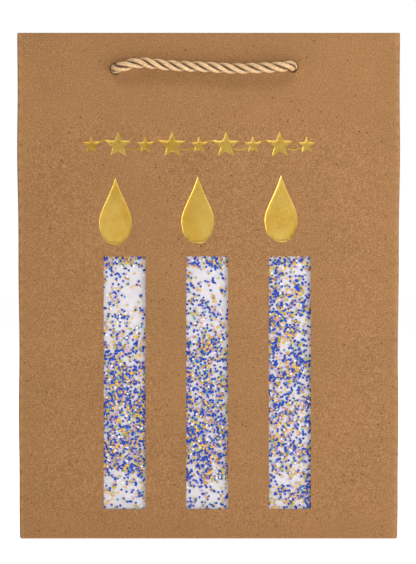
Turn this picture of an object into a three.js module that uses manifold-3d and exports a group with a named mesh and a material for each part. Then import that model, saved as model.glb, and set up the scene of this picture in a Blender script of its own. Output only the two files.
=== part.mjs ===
// A kraft paper gift bag, open and standing, with three shaker windows, gold foil
// and a twisted cord handle on each face. Millimetres, +Z up, the front faces -Y.
// The origin is the middle of the base, on the surface the bag stands on.
import * as THREE from 'three';
import { mergeVertices } from 'three/addons/utils/BufferGeometryUtils.js';
import Module from 'manifold-3d';

const manifoldLibrary = await Module();
manifoldLibrary.setup();

// ---- Driving dimensions -------------------------------------------------------
const HEIGHT = 240;
const HALF_BOTTOM = 89.6; // half of the width at the base
const HALF_TOP = 91.2; // half of the width at the mouth, which flares a little
const DEPTH = 80;
const PAPER = 0.4;
const GAP = 0.1; // between glued layers

// top hem, folded inwards over a card strip
const HEM = 35;
const STRIP_HEIGHT = 33;
const STRIP_DROP = 1; // below the fold at the rim
const STRIP_HALF_WIDTH = 86;
const STRIP_THICKNESS = 0.6;

// cord holes and cord
const HOLES = { left: { x: -44.2, z: 222.7 }, right: { x: 39.8, z: 223.8 } };
const HOLE_RADIUS = 2.85;
const CORD_RADIUS = 2.5;
const CORD_SIDES = 10;
const CORD_GAP = 0.3;
const SPAN_MIDDLE_X = -2; // the cord's middle, between the two holes
const MIDDLE_HALF_LENGTH = 3; // of the short piece that is pulled upwards
const HANG_DEPTH = 9; // how far inside the panel the ends hang
const TAIL_TOP_DROP = 9; // below the hole's centre
const TAIL_LENGTH = 33;
const KNOT_RADIUS = 6.5;
const KNOT_HEIGHT = 14;
const WHISKER_LENGTH = 12; // free cord below the knot
const HALF_STEPS = 34; // slices along each piece of cord
const TAIL_STEPS = 3;
const MIDDLE_STEPS = 2;
const KNOT_STEPS = 8; // from the knot's top to its foot
const KNOT_SIDES = 14;

// side gussets
const CREASE_INWARD = 3; // how far the centre crease leans in
const CREASE_BUILD_UP = 80; // height over which the crease grows from nothing
const GUSSET_STEPS = 12; // slices of its height

// shaker windows
const WINDOWS = { left: -39.8, middle: -0.7, right: 38.5 };
const WINDOW_WIDTH = 19.9;
const WINDOW_BOTTOM = 14;
const WINDOW_TOP = 133.8;
const FILM_THICKNESS = 0.15;
const FILM_MARGIN = 5;
const TRAY_RIM = 3;
const TRAY_MARGIN_SIDE = 2.6; // from the window's edge to the tray's cavity
const TRAY_MARGIN_BOTTOM = 3;
const TRAY_MARGIN_TOP = 6;
const TRAY_DEPTH = 1.2;
const TRAY_FLOOR = 0.35;
const CONFETTI_THICKNESS = 0.6;
const CONFETTI_MARGIN = 0.3; // between the loose layer and the tray's rim
const CONFETTI_TRAVEL = 5;

// foil
const FOIL = 0.1;
const FOIL_GAP = 0.04;
const FLAMES = { left: [-44.1, 139.5], middle: [-5.1, 140.1], right: [34.4, 140.7] };
const FLAME_WIDTH = 15.6;
const FLAME_HEIGHT = 31.8;
// the flame's right side: shares of the half width and of the height
const FLAME_WIDEST = 0.326;
const FLAME_PULLS = { bottom: [0.6, 0], belly: [1, 0.12], shoulder: [1, 0.5], tip: [0.35, 0.7] };
const GARLAND_LEFT = -55.5;
const GARLAND_RIGHT = 46.5;
const GARLAND_Z = 186.5;
const GARLAND_WAVE = 2.2;
const GARLAND_LINE = 0.7;
const STAR_COUNT = 9;
const STAR_LARGE = 6.6; // from the centre to a tip
const STAR_SMALL = 4.3;
const STAR_NOTCH = 0.42; // from the centre to a notch, as a share of the tip

// glued side seam
const SEAM_WIDTH = 15;
const SEAM_FROM_EDGE = 1;
const SEAM_BOTTOM = 3;
const SEAM_BELOW_HEM = 2;

// base
const FLAP_REACH = 54; // of the long base flaps
const FLAP_TAPER = 18; // each end of their free edge is this much shorter than the fold
const SIDE_FLAP_REACH = 40;
const SIDE_FLAP_TAPER = 35;
const SIDE_FLAP_PLAY = 1; // from the end of the side flap's fold to the wall
const BASE_CARD_HALF_WIDTH = 85.2;
const BASE_CARD_FRONT = -36.4;
const BASE_CARD_REAR = 37.4;
const BASE_CARD_THICKNESS = 0.8;

const FRONT = -DEPTH / 2;
const REAR = DEPTH / 2;
const LAYER = PAPER + GAP;
const CURVE_SEGMENTS = 10; // for each curve of an outline
const WELD_DISTANCE = 1e-4; // corners closer than this are one corner

// ---- Materials ----------------------------------------------------------------
const COLOURS = {
  kraft: [0xac7e54, 0.9, 0],
  card: [0x9c8a76, 0.95, 0],
  white: [0xe4e0e2, 0.8, 0],
  film: [0xf2f4f6, 0.1, 0],
  confetti: [0x5f6bb0, 0.5, 0.2],
  foil: [0xd4ac50, 0.28, 1],
  cord: [0xbe966c, 0.45, 0],
};

const bag = new THREE.Group();

function addPiece(name, geometry, colourName) {
  const [color, roughness, metalness] = COLOURS[colourName];
  const material = new THREE.MeshStandardMaterial({ color, roughness, metalness });
  const mesh = new THREE.Mesh(geometry, material);
  mesh.name = name;
  bag.add(mesh);
  return mesh;
}

// ---- Shape helpers ------------------------------------------------------------
function polygon(points) {
  return new THREE.Shape(points.map(([x, y]) => new THREE.Vector2(x, y)));
}

function rectangle(x0, y0, x1, y1) {
  return polygon([[x0, y0], [x1, y0], [x1, y1], [x0, y1]]);
}

function roundHole(x, y, radius) {
  const hole = new THREE.Path();
  hole.absarc(x, y, radius, 0, Math.PI * 2, true);
  return hole;
}

// An upright plate: the outline is in x and z, the thickness runs back from y.
function uprightPlate(outline, y, thickness) {
  const geometry = new THREE.ExtrudeGeometry(outline, {
    depth: thickness,
    bevelEnabled: false,
    curveSegments: CURVE_SEGMENTS,
  });
  geometry.rotateX(Math.PI / 2);
  geometry.translate(0, y + thickness, 0);
  return geometry;
}

// A plate lying flat: the outline is in x and y, the thickness runs up from z.
function lyingPlate(outline, z, thickness) {
  const geometry = new THREE.ExtrudeGeometry(outline, { depth: thickness, bevelEnabled: false });
  geometry.translate(0, 0, z);
  return geometry;
}

function halfWidthAt(z) {
  return HALF_BOTTOM + (HALF_TOP - HALF_BOTTOM) * (z / HEIGHT);
}

// A strip of wall, as wide as the bag less an inset, with or without cord holes.
function wallOutline(z0, z1, inset, withHoles) {
  const low = halfWidthAt(z0) - inset;
  const high = halfWidthAt(z1) - inset;
  const outline = polygon([[-low, z0], [low, z0], [high, z1], [-high, z1]]);
  if (withHoles) {
    for (const { x, z } of Object.values(HOLES)) {
      outline.holes.push(roundHole(x, z, HOLE_RADIUS));
    }
  }
  return outline;
}

// ---- Booleans -----------------------------------------------------------------
function toSolid(geometry) {
  const bare = geometry.clone();
  bare.deleteAttribute('normal');
  bare.deleteAttribute('uv');
  const merged = mergeVertices(bare, WELD_DISTANCE);
  const mesh = new manifoldLibrary.Mesh({
    numProp: 3,
    vertProperties: new Float32Array(merged.attributes.position.array),
    triVerts: new Uint32Array(merged.index.array),
  });
  return new manifoldLibrary.Manifold(mesh);
}

function toGeometry(solid) {
  const mesh = solid.getMesh();
  const geometry = new THREE.BufferGeometry();
  geometry.setAttribute('position', new THREE.BufferAttribute(mesh.vertProperties, 3));
  geometry.setIndex(new THREE.BufferAttribute(mesh.triVerts, 1));
  geometry.computeVertexNormals();
  return geometry;
}

// ---- Paper body ---------------------------------------------------------------
function addPanels() {
  const outline = wallOutline(0, HEIGHT, 0, true);
  let front = toSolid(uprightPlate(outline, FRONT, PAPER));
  for (const centre of Object.values(WINDOWS)) {
    const x0 = centre - WINDOW_WIDTH / 2;
    const x1 = centre + WINDOW_WIDTH / 2;
    const cutter = rectangle(x0, WINDOW_BOTTOM, x1, WINDOW_TOP);
    front = front.subtract(toSolid(uprightPlate(cutter, FRONT - PAPER, 3 * PAPER)));
  }
  addPiece('front_panel', toGeometry(front), 'kraft');
  addPiece('back_panel', uprightPlate(outline, REAR - PAPER, PAPER), 'kraft');
}

// A side wall between two heights, with a centre crease that leans into the bag.
// The profile is drawn once in x and y, then every point is moved by its height.
function gussetGeometry(side, z0, z1, halfDepth, inset) {
  const outline = polygon([
    [0, -halfDepth], [0, 0], [0, halfDepth], [-PAPER, halfDepth], [-PAPER, 0], [-PAPER, -halfDepth],
  ]);
  const settings = { depth: z1 - z0, steps: GUSSET_STEPS, bevelEnabled: false };
  const geometry = new THREE.ExtrudeGeometry(outline, settings);
  geometry.translate(0, 0, z0);
  const position = geometry.attributes.position;
  for (let i = 0; i < position.count; i += 1) {
    const y = position.getY(i);
    const z = position.getZ(i);
    const build = THREE.MathUtils.smoothstep(z, 0, CREASE_BUILD_UP);
    const lean = CREASE_INWARD * build * (1 - Math.abs(y) / halfDepth);
    position.setX(i, position.getX(i) + halfWidthAt(z) - inset - lean);
  }
  if (side === 'left') {
    geometry.rotateZ(Math.PI);
  }
  return geometry;
}

function addGussets() {
  const hemHalfDepth = REAR - 2 * PAPER - STRIP_THICKNESS - 3 * GAP;
  for (const side of ['left', 'right']) {
    const wall = gussetGeometry(side, 0, HEIGHT, REAR - PAPER - GAP, 0);
    addPiece(`${side}_gusset`, wall, 'kraft');
    const hem = gussetGeometry(side, HEIGHT - HEM, HEIGHT - GAP, hemHalfDepth, LAYER);
    addPiece(`${side}_hem`, hem, 'kraft');
  }
}

function addHemsAndStrips() {
  const stripOutline = rectangle(
    -STRIP_HALF_WIDTH, HEIGHT - STRIP_HEIGHT, STRIP_HALF_WIDTH, HEIGHT - STRIP_DROP,
  );
  for (const { x, z } of Object.values(HOLES)) {
    stripOutline.holes.push(roundHole(x, z, HOLE_RADIUS));
  }
  const hemOutline = wallOutline(HEIGHT - HEM, HEIGHT - GAP, 3 * PAPER, true);
  const hemInset = LAYER + STRIP_THICKNESS + GAP;
  addPiece('front_top_card', uprightPlate(stripOutline, FRONT + LAYER, STRIP_THICKNESS), 'card');
  addPiece('front_hem', uprightPlate(hemOutline, FRONT + hemInset, PAPER), 'kraft');
  const rearStripY = REAR - LAYER - STRIP_THICKNESS;
  addPiece('rear_top_card', uprightPlate(stripOutline, rearStripY, STRIP_THICKNESS), 'card');
  addPiece('rear_hem', uprightPlate(hemOutline, REAR - hemInset - PAPER, PAPER), 'kraft');
}

// The sheet closes with a glued flap inside the back panel's left edge.
function addGlueSeam() {
  const left = SEAM_FROM_EDGE - HALF_BOTTOM;
  const top = HEIGHT - HEM - SEAM_BELOW_HEM;
  const outline = rectangle(left, SEAM_BOTTOM, left + SEAM_WIDTH, top);
  addPiece('glue_seam', uprightPlate(outline, REAR - PAPER - LAYER, PAPER), 'kraft');
}

// A flap's corners: half the length of the fold and where it is, then the free edge.
function flapCorners(foldHalf, foldAt, freeHalf, freeAt) {
  return [[-foldHalf, foldAt], [foldHalf, foldAt], [freeHalf, freeAt], [-freeHalf, freeAt]];
}

function addBase() {
  const edge = HALF_BOTTOM - LAYER;
  const inner = REAR - LAYER;
  const levels = { front: 0, rear: LAYER, side: 2 * LAYER, card: 3 * LAYER };
  for (const [face, sign] of [['front', -1], ['rear', 1]]) {
    const corners = flapCorners(edge, sign * inner, edge - FLAP_TAPER, sign * (inner - FLAP_REACH));
    addPiece(`base_flap_${face}`, lyingPlate(polygon(corners), levels[face], PAPER), 'kraft');
  }
  for (const [side, sign] of [['left', -1], ['right', 1]]) {
    const foldHalf = inner - SIDE_FLAP_PLAY;
    const freeAt = sign * (edge - SIDE_FLAP_REACH);
    const corners = flapCorners(foldHalf, sign * edge, foldHalf - SIDE_FLAP_TAPER, freeAt);
    const turned = corners.map(([along, across]) => [across, along]);
    addPiece(`base_flap_${side}`, lyingPlate(polygon(turned), levels.side, PAPER), 'kraft');
  }
  const card = rectangle(-BASE_CARD_HALF_WIDTH, BASE_CARD_FRONT, BASE_CARD_HALF_WIDTH, BASE_CARD_REAR);
  addPiece('base_card', lyingPlate(card, levels.card, BASE_CARD_THICKNESS), 'card');
}

// ---- Shaker windows -----------------------------------------------------------
// Behind each cut-out: a clear film, loose confetti, and a shallow white tray.
function addWindow(name, centre) {
  const filmY = FRONT + PAPER + GAP / 2;
  const trayY = filmY + FILM_THICKNESS + GAP / 2;
  const halfWindow = WINDOW_WIDTH / 2;
  const film = rectangle(
    centre - halfWindow - FILM_MARGIN, WINDOW_BOTTOM - FILM_MARGIN,
    centre + halfWindow + FILM_MARGIN, WINDOW_TOP + FILM_MARGIN + CONFETTI_TRAVEL,
  );
  addPiece(`${name}_window_film`, uprightPlate(film, filmY, FILM_THICKNESS), 'film');

  const cavity = {
    x0: centre - halfWindow - TRAY_MARGIN_SIDE,
    x1: centre + halfWindow + TRAY_MARGIN_SIDE,
    z0: WINDOW_BOTTOM - TRAY_MARGIN_BOTTOM,
    z1: WINDOW_TOP + TRAY_MARGIN_TOP,
  };
  const outer = rectangle(
    cavity.x0 - TRAY_RIM, cavity.z0 - TRAY_RIM, cavity.x1 + TRAY_RIM, cavity.z1 + TRAY_RIM,
  );
  const inner = rectangle(cavity.x0, cavity.z0, cavity.x1, cavity.z1);
  const block = toSolid(uprightPlate(outer, trayY, TRAY_DEPTH));
  const hollow = toSolid(uprightPlate(inner, trayY - PAPER, TRAY_DEPTH - TRAY_FLOOR + PAPER));
  addPiece(`${name}_window_tray`, toGeometry(block.subtract(hollow)), 'white');

  const layer = rectangle(
    cavity.x0 + CONFETTI_MARGIN, cavity.z0 + CONFETTI_MARGIN,
    cavity.x1 - CONFETTI_MARGIN, cavity.z1 - CONFETTI_MARGIN - CONFETTI_TRAVEL,
  );
  addPiece(`${name}_confetti`, uprightPlate(layer, trayY + GAP, CONFETTI_THICKNESS), 'confetti');
}

// ---- Foil ---------------------------------------------------------------------
function flameOutline(x, z) {
  const at = (side, [across, up]) => [x + (side * across * FLAME_WIDTH) / 2, z + up * FLAME_HEIGHT];
  const { bottom, belly, shoulder, tip } = FLAME_PULLS;
  const outline = new THREE.Shape();
  outline.moveTo(...at(0, [0, 0]));
  outline.bezierCurveTo(...at(1, bottom), ...at(1, belly), ...at(1, [1, FLAME_WIDEST]));
  outline.bezierCurveTo(...at(1, shoulder), ...at(1, tip), ...at(0, [0, 1]));
  outline.bezierCurveTo(...at(-1, tip), ...at(-1, shoulder), ...at(-1, [1, FLAME_WIDEST]));
  outline.bezierCurveTo(...at(-1, belly), ...at(-1, bottom), ...at(0, [0, 0]));
  return outline;
}

function foilPlate(outline) {
  return uprightPlate(outline, FRONT - FOIL - FOIL_GAP, FOIL);
}

function garlandHeight(x) {
  const along = (x - GARLAND_LEFT) / (GARLAND_RIGHT - GARLAND_LEFT);
  return GARLAND_Z + GARLAND_WAVE * Math.sin(along * Math.PI * (STAR_COUNT - 1));
}

function starOutline(x, z, radius) {
  const points = [];
  for (let i = 0; i < 10; i += 1) {
    const reach = i % 2 === 0 ? radius : radius * STAR_NOTCH;
    const angle = Math.PI / 2 + (i * Math.PI) / 5;
    points.push([x + reach * Math.cos(angle), z + reach * Math.sin(angle)]);
  }
  return polygon(points);
}

// A waving line of foil with stars along it.
function addGarland() {
  const steps = 64;
  const upper = [];
  const lower = [];
  for (let i = 0; i <= steps; i += 1) {
    const x = GARLAND_LEFT + ((GARLAND_RIGHT - GARLAND_LEFT) * i) / steps;
    upper.push([x, garlandHeight(x) + GARLAND_LINE / 2]);
    lower.unshift([x, garlandHeight(x) - GARLAND_LINE / 2]);
  }
  let garland = toSolid(foilPlate(polygon([...lower, ...upper].reverse())));
  for (let i = 0; i < STAR_COUNT; i += 1) {
    const x = GARLAND_LEFT + ((GARLAND_RIGHT - GARLAND_LEFT) * i) / (STAR_COUNT - 1);
    const radius = i % 2 === 0 ? STAR_SMALL : STAR_LARGE;
    garland = garland.add(toSolid(foilPlate(starOutline(x, garlandHeight(x), radius))));
  }
  addPiece('foil_garland', toGeometry(garland), 'foil');
}

// ---- Cord handles -------------------------------------------------------------
// The cord's centre line on the front. Each half starts inside the bag, comes out
// through its hole and lies along the panel; the short middle piece joins them.
// The lists hold offsets from the hole: along x towards the middle, outwards, up.
const ROUTE_INSIDE = [
  [0, -HANG_DEPTH, -TAIL_TOP_DROP],
  [0, -HANG_DEPTH + 0.2, -6],
  [0, -HANG_DEPTH + 1.6, -2.4],
  [0, -HANG_DEPTH + 4.4, -0.2],
  [0, -2, 0],
  [0, 0.4, 0],
];
const ROUTE_OUTSIDE = {
  left: [
    [0.7, 2.9, 0.0],
    [3.0, 5.0, 0.3],
    [7.5, 5.9, 1.5],
    [12.5, 5.9, 2.1],
    [18, 5.8, 1.7],
    [24, 5.5, 1.1],
    [30, 5.2, 0.7],
  ],
  right: [
    [0.7, 2.9, -0.1],
    [3.0, 5.0, -0.5],
    [7.5, 5.9, -1.0],
    [12.5, 5.9, -1.25],
    [18, 5.8, -1.45],
    [24, 5.5, -1.6],
    [30, 5.2, -1.5],
  ],
};
const MIDDLE_OUT = 5.1;
const MIDDLE_Z = 223.0;

function cordTube(points, steps) {
  const curve = new THREE.CatmullRomCurve3(points, false, 'centripetal');
  const section = new THREE.Shape();
  section.absarc(0, 0, CORD_RADIUS, 0, Math.PI * 2, false);
  return new THREE.ExtrudeGeometry(section, {
    extrudePath: curve,
    steps,
    curveSegments: CORD_SIDES / 2,
    bevelEnabled: false,
  });
}

// Overhand knot with its free end hanging below, turned about the cord's line.
function knotGeometry() {
  const points = [new THREE.Vector2(0, 0)];
  for (let i = 1; i < KNOT_STEPS; i += 1) {
    const angle = (i / KNOT_STEPS) * Math.PI;
    const height = (-KNOT_HEIGHT / 2) * (1 - Math.cos(angle));
    points.push(new THREE.Vector2(KNOT_RADIUS * Math.sin(angle), height));
  }
  points.push(new THREE.Vector2(CORD_RADIUS, -KNOT_HEIGHT));
  points.push(new THREE.Vector2(CORD_RADIUS, -KNOT_HEIGHT - WHISKER_LENGTH));
  points.push(new THREE.Vector2(0, -KNOT_HEIGHT - WHISKER_LENGTH));
  const geometry = new THREE.LatheGeometry(points.reverse(), KNOT_SIDES);
  geometry.rotateX(Math.PI / 2);
  return geometry;
}

// outward is -1 on the front and +1 on the rear.
function addHandle(name, outward) {
  const faceY = outward * (DEPTH / 2);
  for (const side of ['left', 'right']) {
    const hole = HOLES[side];
    const inward = side === 'left' ? 1 : -1;
    const points = [...ROUTE_INSIDE, ...ROUTE_OUTSIDE[side]].map(([along, out, up]) => (
      new THREE.Vector3(hole.x + inward * along, faceY + outward * out, hole.z + up)
    ));
    const endX = SPAN_MIDDLE_X - inward * (MIDDLE_HALF_LENGTH + CORD_GAP);
    points.push(new THREE.Vector3(endX, faceY + outward * MIDDLE_OUT, MIDDLE_Z));
    addPiece(`${name}_cord_${side}_half`, cordTube(points, HALF_STEPS), 'cord');

    const hangY = faceY - outward * HANG_DEPTH;
    const tailTop = hole.z - TAIL_TOP_DROP - CORD_GAP;
    const tailBottom = tailTop - TAIL_LENGTH;
    const tail = [tailTop, (tailTop + tailBottom) / 2, tailBottom];
    const tailPoints = tail.map((z) => new THREE.Vector3(hole.x, hangY, z));
    addPiece(`${name}_cord_${side}_tail`, cordTube(tailPoints, TAIL_STEPS), 'cord');

    const knot = addPiece(`${name}_cord_${side}_knot`, knotGeometry(), 'cord');
    knot.position.set(hole.x, hangY, tailBottom - CORD_GAP);
  }
  const middle = [-1, 0, 1].map((step) => new THREE.Vector3(
    SPAN_MIDDLE_X + step * MIDDLE_HALF_LENGTH, faceY + outward * MIDDLE_OUT, MIDDLE_Z,
  ));
  addPiece(`${name}_cord_middle`, cordTube(middle, MIDDLE_STEPS), 'cord');
}

// ---- Assembly -----------------------------------------------------------------
addPanels();
addGussets();
addHemsAndStrips();
addGlueSeam();
addBase();
for (const [name, centre] of Object.entries(WINDOWS)) {
  addWindow(name, centre);
}
for (const [name, [x, z]] of Object.entries(FLAMES)) {
  addPiece(`${name}_flame_foil`, foilPlate(flameOutline(x, z)), 'foil');
}
addGarland();
addHandle('front', -1);
addHandle('rear', 1);

export default bag;
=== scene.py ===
"""The looks of a kraft paper gift bag with confetti windows, gold foil and cord handles.

Metres, +Z up, the front faces -Y. Sizes follow the CAD frame; lengths in the comments
are in millimetres where they are small.
"""

import math
import random

import bpy
import numpy as np
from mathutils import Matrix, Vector
from mathutils.geometry import delaunay_2d_cdt


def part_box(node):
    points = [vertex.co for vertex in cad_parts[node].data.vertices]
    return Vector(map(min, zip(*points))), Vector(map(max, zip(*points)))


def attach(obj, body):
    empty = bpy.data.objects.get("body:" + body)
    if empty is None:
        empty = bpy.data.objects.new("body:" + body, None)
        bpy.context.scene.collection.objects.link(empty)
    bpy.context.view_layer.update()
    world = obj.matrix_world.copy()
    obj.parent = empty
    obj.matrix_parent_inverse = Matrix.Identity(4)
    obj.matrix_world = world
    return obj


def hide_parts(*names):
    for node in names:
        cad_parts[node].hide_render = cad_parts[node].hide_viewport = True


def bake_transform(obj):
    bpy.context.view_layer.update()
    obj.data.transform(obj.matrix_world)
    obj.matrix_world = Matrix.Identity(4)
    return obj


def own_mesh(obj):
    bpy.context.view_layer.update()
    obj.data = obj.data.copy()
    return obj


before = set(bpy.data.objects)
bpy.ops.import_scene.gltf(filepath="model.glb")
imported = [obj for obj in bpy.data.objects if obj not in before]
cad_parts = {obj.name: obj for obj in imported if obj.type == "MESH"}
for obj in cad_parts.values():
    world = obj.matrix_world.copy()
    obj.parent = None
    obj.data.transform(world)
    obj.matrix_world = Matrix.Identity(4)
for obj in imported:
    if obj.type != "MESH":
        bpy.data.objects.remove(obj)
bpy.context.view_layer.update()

MM = 0.001

# ---- The bag's size, from the frame ----
panel_low, panel_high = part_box("front_panel")
HEIGHT = panel_high.z
HALF_TOP = panel_high.x
FRONT_Y = panel_low.y
HALF_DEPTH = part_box("back_panel")[1].y
PAPER = panel_high.y - panel_low.y
TAPER = 1.6 * MM  # how much narrower the front is at its foot than at its mouth, on each side
HALF_BOTTOM = HALF_TOP - TAPER
HEM_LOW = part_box("front_hem")[0].z
CREASE_INWARD = 3 * MM  # how far the centre crease of a side leans in
CREASE_BUILD_UP = 80 * MM  # the height over which it comes to lean that far
CORNER_RADIUS = 1.0 * MM
RIM_RADIUS = 0.8 * MM
SHEET_SPACING = 3 * MM  # between the mesh points of a wide panel
GUSSET_SPACING = 2.5 * MM

HOLES = {"left": (-44.2 * MM, 222.7 * MM), "right": (39.8 * MM, 223.8 * MM)}
HOLE_RADIUS = 2.85 * MM
HEM_HOLE_EASE = 0.40 * MM  # the holes in the hem are this much smaller in radius
WINDOW_NAMES = ("left", "middle", "right")
WINDOW_CENTRES = {"left": -39.8 * MM, "middle": -0.7 * MM, "right": 38.5 * MM}
WINDOW_WIDTH = 19.9 * MM
WINDOW_BOTTOM = 14 * MM
WINDOW_TOP = 133.8 * MM


# ---- Camera ----
CAMERA_LENS = 100
SENSOR_WIDTH = 36
SEEN_HEIGHT = 267.4 * MM  # at the front panel, over the long side of the image
VIEW_X = -0.3 * MM
VIEW_Z = 121.7 * MM


def make_camera():
    data = bpy.data.cameras.new("camera")
    data.lens = CAMERA_LENS
    data.sensor_width = SENSOR_WIDTH
    camera = bpy.data.objects.new("camera", data)
    bpy.context.scene.collection.objects.link(camera)
    distance = SEEN_HEIGHT * data.lens / data.sensor_width
    camera.location = (VIEW_X, FRONT_Y - distance, VIEW_Z)
    camera.rotation_euler = (math.pi / 2, 0, 0)
    bpy.context.scene.camera = camera


# ---- Node graphs ----
class Graph:
    """A short way to write a material's nodes. Most methods add one and return its output."""

    def __init__(self, name):
        self.material = bpy.data.materials.new(name)
        self.material.use_nodes = True
        self.nodes = self.material.node_tree.nodes
        self.links = self.material.node_tree.links
        self.shader = self.nodes["Principled BSDF"]

    def feed(self, socket, value):
        if isinstance(value, bpy.types.NodeSocket):
            self.links.new(value, socket)
        else:
            socket.default_value = value

    def add(self, kind, inputs=(), output=0, **settings):
        node = self.nodes.new(kind)
        for key, value in settings.items():
            setattr(node, key, value)
        for key, value in dict(inputs).items():
            self.feed(node.inputs[key], value)
        return node.outputs[output]

    def place(self, scale=(1, 1, 1), turn=(0, 0, 0)):
        where = self.add("ShaderNodeTexCoord", output="Object")
        return self.add("ShaderNodeMapping", {"Vector": where, "Scale": scale, "Rotation": turn})

    def noise(self, where, scale, detail=2.0, roughness=0.5, distortion=0.0):
        values = {"Vector": where, "Scale": scale, "Detail": detail, "Roughness": roughness}
        return self.add("ShaderNodeTexNoise", {**values, "Distortion": distortion})

    def spread(self, value, low, high, to_low=0.0, to_high=1.0):
        values = {"Value": value, "From Min": low, "From Max": high, "To Min": to_low, "To Max": to_high}
        return self.add("ShaderNodeMapRange", values)

    def mix(self, share, a, b, blend="MIX"):
        node = self.nodes.new("ShaderNodeMix")
        node.data_type = "RGBA"
        node.blend_type = blend
        for key, value in ((0, share), (6, a), (7, b)):
            self.feed(node.inputs[key], value)
        return node.outputs[2]

    def maths(self, operation, a, b):
        return self.add("ShaderNodeMath", {0: a, 1: b}, operation=operation)

    def attribute(self, name):
        return self.add("ShaderNodeAttribute", output="Fac", attribute_name=name)

    def bump(self, height, distance, strength, normal=None):
        values = {"Height": height, "Distance": distance, "Strength": strength}
        if normal is not None:
            values["Normal"] = normal
        return self.add("ShaderNodeBump", values)

    def finish(self, colour, roughness, normal=None, **values):
        for key, value in {"Base Color": colour, "Roughness": roughness, "Normal": normal, **values}.items():
            if value is not None:
                self.feed(self.shader.inputs[key], value)
        return self.material


def srgb(red, green, blue):
    """A colour on the 0-255 screen scale as linear light."""
    def linear(value):
        share = value / 255
        return share / 12.92 if share <= 0.04045 else ((share + 0.055) / 1.055) ** 2.4
    return (linear(red), linear(green), linear(blue), 1.0)


# ---- Materials ----
def kraft_material():
    """Brown recycled kraft: mottled pulp, short fibres, dark specks and pale shives."""
    g = Graph("kraft_paper")
    where = g.place()
    cloud = g.noise(where, 28, 3, 0.6)
    mottle = g.noise(where, 420, 4, 0.65)
    grain = g.noise(where, 1500, 3, 0.75)
    colour = g.mix(g.spread(cloud, 0.35, 0.65), srgb(137, 97, 57), srgb(144, 102, 61))
    colour = g.mix(g.spread(mottle, 0.40, 0.70, 0.0, 0.5), colour, srgb(131, 94, 59))
    colour = g.mix(g.spread(grain, 0.52, 0.72, 0.0, 0.9), colour, srgb(176, 136, 98))
    colour = g.mix(g.spread(grain, 0.48, 0.28, 0.0, 0.9), colour, srgb(102, 70, 42))
    for turn, share in (((0, 0.5, 0), 0.5), ((0, -0.9, 0), 0.45), ((0, 1.7, 0), 0.4)):
        along = g.place(scale=(300, 300, 3200), turn=turn)
        fibre = g.noise(along, 1.0, 2, 0.5, 0.6)
        colour = g.mix(g.spread(fibre, 0.66, 0.74, 0.0, share), colour, srgb(180, 142, 104))
        colour = g.mix(g.spread(fibre, 0.33, 0.25, 0.0, share), colour, srgb(100, 68, 40))
    cell = {"Vector": where, "Scale": 560.0}
    distance = g.add("ShaderNodeTexVoronoi", cell, "Distance")
    cell_colour = g.add("ShaderNodeTexVoronoi", cell, "Color")
    chosen = g.spread(g.add("ShaderNodeSeparateColor", {"Color": cell_colour}, "Red"), 0.93, 0.95)
    speck = g.maths("MULTIPLY", g.spread(distance, 0.30, 0.15), chosen)
    colour = g.mix(g.maths("MULTIPLY", speck, 0.8), colour, srgb(74, 48, 28))
    crease = g.attribute("crease")
    colour = g.mix(g.maths("MULTIPLY", crease, 0.3), colour, srgb(172, 134, 94))
    height = g.maths("ADD", g.maths("MULTIPLY", grain, 0.6), g.maths("MULTIPLY", mottle, 0.8))
    normal = g.bump(height, 0.06 * MM, 0.55)
    rough = g.spread(mottle, 0.3, 0.7, 0.80, 0.94)
    return g.finish(colour, rough, normal, **{"Specular IOR Level": 0.25})


def board_material():
    """Grey recycled board of the stiffening strips and the base card."""
    g = Graph("grey_board")
    where = g.place()
    mottle = g.noise(where, 380, 4, 0.6)
    fleck = g.noise(where, 1500, 2, 0.5, 0.5)
    colour = g.mix(g.spread(mottle, 0.35, 0.65), srgb(158, 146, 130), srgb(176, 165, 148))
    colour = g.mix(g.spread(fleck, 0.64, 0.72, 0.0, 0.6), colour, srgb(112, 100, 88))
    return g.finish(colour, 0.95, g.bump(mottle, 0.05 * MM, 0.5))


def white_card_material():
    g = Graph("white_card")
    where = g.place()
    mottle = g.noise(where, 240, 3, 0.6)
    colour = g.mix(g.spread(mottle, 0.35, 0.65), srgb(196, 190, 193), srgb(204, 199, 202))
    # painted light: a faint emission lifts the card, so the shade that the window's edges cast on it is
    # washed out
    glow = {"Emission Color": srgb(222, 214, 218), "Emission Strength": 0.08}
    return g.finish(colour, 0.7, g.bump(g.noise(where, 1600, 2), 0.02 * MM, 0.4), **glow)


def film_material():
    """Clear film: nearly invisible but for its gloss and a faint ripple."""
    g = Graph("clear_film")
    ripple = g.noise(g.place(), 60, 2, 0.5)
    normal = g.bump(ripple, 0.3 * MM, 0.25)
    return g.finish(srgb(120, 122, 126), 0.12, normal, Alpha=0.035)


def foil_material():
    """Satin gold stamping foil with a fine brushed grain."""
    g = Graph("gold_foil")
    where = g.place()
    broad = g.noise(where, 90, 2, 0.5)
    fine = g.noise(g.place(scale=(1, 1, 0.35)), 3200, 2, 0.6)
    colour = g.mix(g.spread(broad, 0.35, 0.65), srgb(230, 180, 74), srgb(240, 198, 98))
    normal = g.bump(fine, 0.02 * MM, 0.5, g.bump(broad, 0.25 * MM, 0.35))
    rough = g.spread(fine, 0.3, 0.7, 0.26, 0.38)
    return g.finish(colour, rough, normal, Metallic=1.0)


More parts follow.
